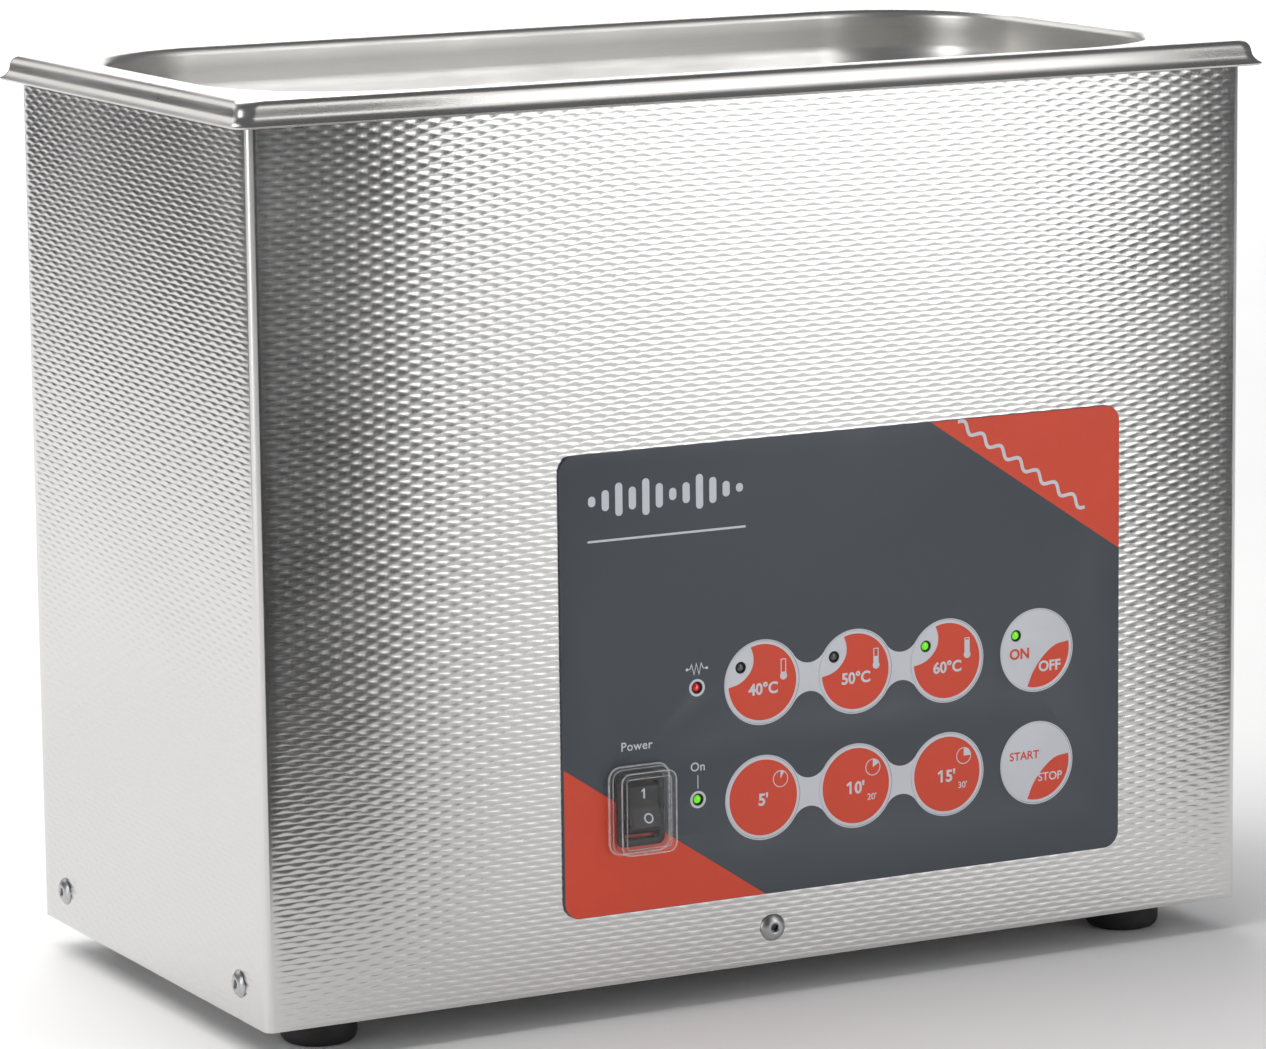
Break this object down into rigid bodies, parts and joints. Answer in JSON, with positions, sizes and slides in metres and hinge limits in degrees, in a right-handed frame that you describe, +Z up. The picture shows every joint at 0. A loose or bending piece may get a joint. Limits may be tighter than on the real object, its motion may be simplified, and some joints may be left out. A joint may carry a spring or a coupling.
{
  "type": "ultrasonic cleaner",
  "caption": "Heated bench-top ultrasonic cleaner: a rectangular steel tank with a flanged rim in an embossed steel housing, with a keypad panel and a covered power switch.",
  "frame": {"origin": "on the bench, under the middle of the machine", "axes": "+Z up, +X along the length towards the viewer's right when facing the front panel, +Y from the front panel to the rear"},
  "size_m": [0.331, 0.177, 0.2688],
  "materials": {
    "embossed_steel": "embossed with a small staggered lens pattern, bright satin",
    "tank_steel": "satin, deep drawn",
    "sheet_steel": "plain satin sheet",
    "screw_steel": "machined",
    "rivet_aluminium": "bright, domed",
    "bare_aluminium": "as machined",
    "black_rubber": "matt",
    "panel_grey": "screen printed satin film",
    "key_orange": "screen printed satin film",
    "key_pale": "screen printed satin film",
    "lamp_off": "clear lens, unlit",
    "lamp_green": "clear lens, lit green",
    "lamp_red": "clear lens, lit red",
    "switch_black": "satin moulded",
    "inlet_black": "moulded",
    "clear_cover": "clear flexible plastic",
    "circuit_board": "solder mask",
    "white_plastic": "moulded",
    "ferrite": "core with a wound coil",
    "piezo": "fired ceramic with thin electrodes",
    "heater_silicone": "silicone mat",
    "wire_grey": "sleeved",
    "wire_orange": "insulated",
    "fuse_glass": "glass tube, metal caps"
  },
  "bodies": {
    "root": {"base_plate": "sheet_steel", "board_rail_left": "white_plastic", "board_rail_right": "white_plastic", "control_board": "circuit_board", "foot_front_left": "black_rubber", "foot_front_right": "black_rubber", "foot_rear_left": "black_rubber", "foot_rear_right": "black_rubber", "generator_board": "circuit_board", "generator_rail_front": "white_plastic", "generator_rail_rear": "white_plastic", "heater_mat_front": "heater_silicone", "heater_mat_rear": "heater_silicone", "heatsink": "bare_aluminium", "housing_wrap": "embossed_steel", "inlet_screw_left": "screw_steel", "inlet_screw_right": "screw_steel", "led_40c": "lamp_off", "led_50c": "lamp_off", "led_60c": "lamp_green", "led_heat_on": "lamp_green", "led_heater": "lamp_red", "led_power": "lamp_green", "mains_harness": "wire_grey", "mains_inlet": "inlet_black", "panel_lead": "wire_grey", "panel_overlay": "panel_grey", "piezo_stack_left": "piezo", "piezo_stack_right": "piezo", "rivet_front_middle": "rivet_aluminium", "rivet_left_front": "rivet_aluminium", "rivet_left_rear": "rivet_aluminium", "rivet_rear_middle": "rivet_aluminium", "rivet_right_front": "rivet_aluminium", "rivet_right_rear": "rivet_aluminium", "switch_body": "switch_black", "switch_cover": "clear_cover", "tank_basin": "tank_steel", "tank_seal": "black_rubber", "thermostat": "switch_black", "transducer_bolt_left": "screw_steel", "transducer_bolt_right": "screw_steel", "transducer_horn_left": "bare_aluminium", "transducer_horn_right": "bare_aluminium", "transducer_lead": "wire_orange", "transducer_tail_left": "screw_steel", "transducer_tail_right": "screw_steel", "transformer": "ferrite"},
    "key_40c_plunger": {"key_40c": "key_orange"},
    "key_50c_plunger": {"key_50c": "key_orange"},
    "key_60c_plunger": {"key_60c": "key_orange"},
    "key_heat_on_off_plunger": {"key_heat_on_off": "key_pale"},
    "key_5min_plunger": {"key_5min": "key_orange"},
    "key_10min_plunger": {"key_10min": "key_orange"},
    "key_15min_plunger": {"key_15min": "key_orange"},
    "key_start_stop_plunger": {"key_start_stop": "key_pale"},
    "rocker": {"switch_rocker": "switch_black"},
    "fuse_tray": {"fuse_drawer": "inlet_black", "fuse": "fuse_glass"}
  },
  "joints": [
    {"name": "key_40c_press", "type": "slide", "parent": "root", "child": "key_40c_plunger", "axis": [0, 1, 0], "range_m": [0, 0.0004], "stiffness_N_per_m": 800},
    {"name": "key_50c_press", "type": "slide", "parent": "root", "child": "key_50c_plunger", "axis": [0, 1, 0], "range_m": [0, 0.0004], "stiffness_N_per_m": 800},
    {"name": "key_60c_press", "type": "slide", "parent": "root", "child": "key_60c_plunger", "axis": [0, 1, 0], "range_m": [0, 0.0004], "stiffness_N_per_m": 800},
    {"name": "key_heat_on_off_press", "type": "slide", "parent": "root", "child": "key_heat_on_off_plunger", "axis": [0, 1, 0], "range_m": [0, 0.0004], "stiffness_N_per_m": 800},
    {"name": "key_5min_press", "type": "slide", "parent": "root", "child": "key_5min_plunger", "axis": [0, 1, 0], "range_m": [0, 0.0004], "stiffness_N_per_m": 800},
    {"name": "key_10min_press", "type": "slide", "parent": "root", "child": "key_10min_plunger", "axis": [0, 1, 0], "range_m": [0, 0.0004], "stiffness_N_per_m": 800},
    {"name": "key_15min_press", "type": "slide", "parent": "root", "child": "key_15min_plunger", "axis": [0, 1, 0], "range_m": [0, 0.0004], "stiffness_N_per_m": 800},
    {"name": "key_start_stop_press", "type": "slide", "parent": "root", "child": "key_start_stop_plunger", "axis": [0, 1, 0], "range_m": [0, 0.0004], "stiffness_N_per_m": 800},
    {"name": "power_rocker", "type": "hinge", "parent": "root", "child": "rocker", "pos_m": [-0.0441, -0.0806, 0.0609], "axis": [1, 0, 0], "range_deg": [0, 20]},
    {"name": "fuse_drawer_slide", "type": "slide", "parent": "root", "child": "fuse_tray", "axis": [0, 1, 0], "range_m": [0, 0.016]}
  ]
}
